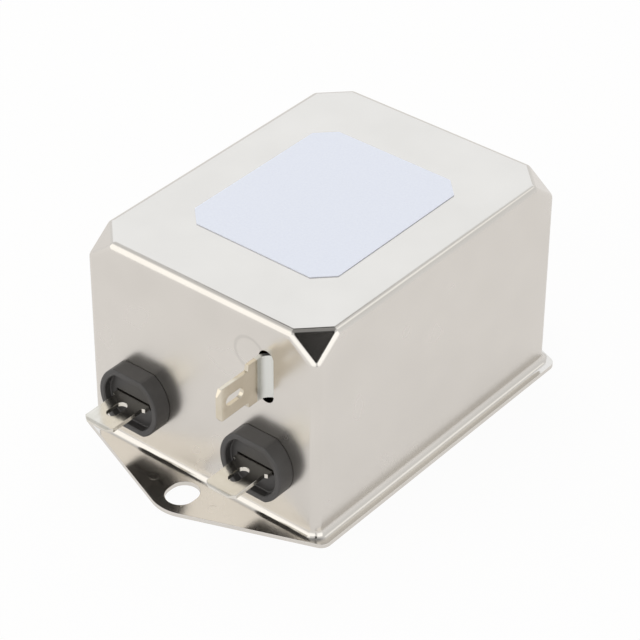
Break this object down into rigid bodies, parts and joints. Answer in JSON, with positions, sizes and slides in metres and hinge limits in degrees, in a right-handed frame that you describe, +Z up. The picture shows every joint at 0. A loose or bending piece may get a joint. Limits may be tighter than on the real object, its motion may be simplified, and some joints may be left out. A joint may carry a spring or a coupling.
{
  "type": "emi line filter",
  "caption": "Mains interference filter in a drawn steel can with mounting ears, insulated blade terminals at each end and an earth tab.",
  "frame": {"origin": "middle of the underside of the mounting flange, half way between the two mounting slots", "axes": "+Z up out of the mounting surface, X across the can, Y along it; the line end with the earth tab faces -Y and the load end faces +Y"},
  "size_m": [0.054, 0.0872, 0.0404],
  "materials": {
    "can_plating": "satin nickel-plated drawn steel",
    "plate_steel": "tinned steel sheet",
    "resin": "poured epoxy resin",
    "board": "glass epoxy board",
    "label_film": "blank polyester label",
    "insulator_nylon": "black moulded nylon",
    "blade_tin": "tinned brass",
    "earth_tin": "tinned brass",
    "copper_wire": "bare copper",
    "enamel_wire": "enamelled copper",
    "core_coating": "coated ferrite ring",
    "stand_nylon": "natural moulded nylon",
    "capacitor_box": "moulded plastic box",
    "disc_coating": "dipped epoxy",
    "resistor_coat": "lacquered ceramic body"
  },
  "bodies": {
    "root": {"can": "can_plating", "base_plate": "plate_steel", "resin_layer": "resin", "circuit_board": "board", "label": "label_film", "line_insulator_left": "insulator_nylon", "line_insulator_right": "insulator_nylon", "load_insulator_left": "insulator_nylon", "load_insulator_right": "insulator_nylon", "line_blade_left": "blade_tin", "line_blade_right": "blade_tin", "load_blade_left": "blade_tin", "load_blade_right": "blade_tin", "line_link_left": "copper_wire", "line_link_right": "copper_wire", "load_link_left": "copper_wire", "load_link_right": "copper_wire", "earth_tab": "earth_tin", "earth_strip": "earth_tin", "choke_core_line": "core_coating", "choke_core_load": "core_coating", "choke_winding_line_left": "enamel_wire", "choke_winding_line_right": "enamel_wire", "choke_winding_load_left": "enamel_wire", "choke_winding_load_right": "enamel_wire", "choke_stand_line": "stand_nylon", "choke_stand_load": "stand_nylon", "choke_divider_line": "stand_nylon", "choke_divider_load": "stand_nylon", "x_capacitor_line": "capacitor_box", "x_capacitor_middle": "capacitor_box", "x_capacitor_load": "capacitor_box", "y_capacitor_left": "disc_coating", "y_capacitor_right": "disc_coating", "bleed_resistor": "resistor_coat"}
  },
  "joints": []
}
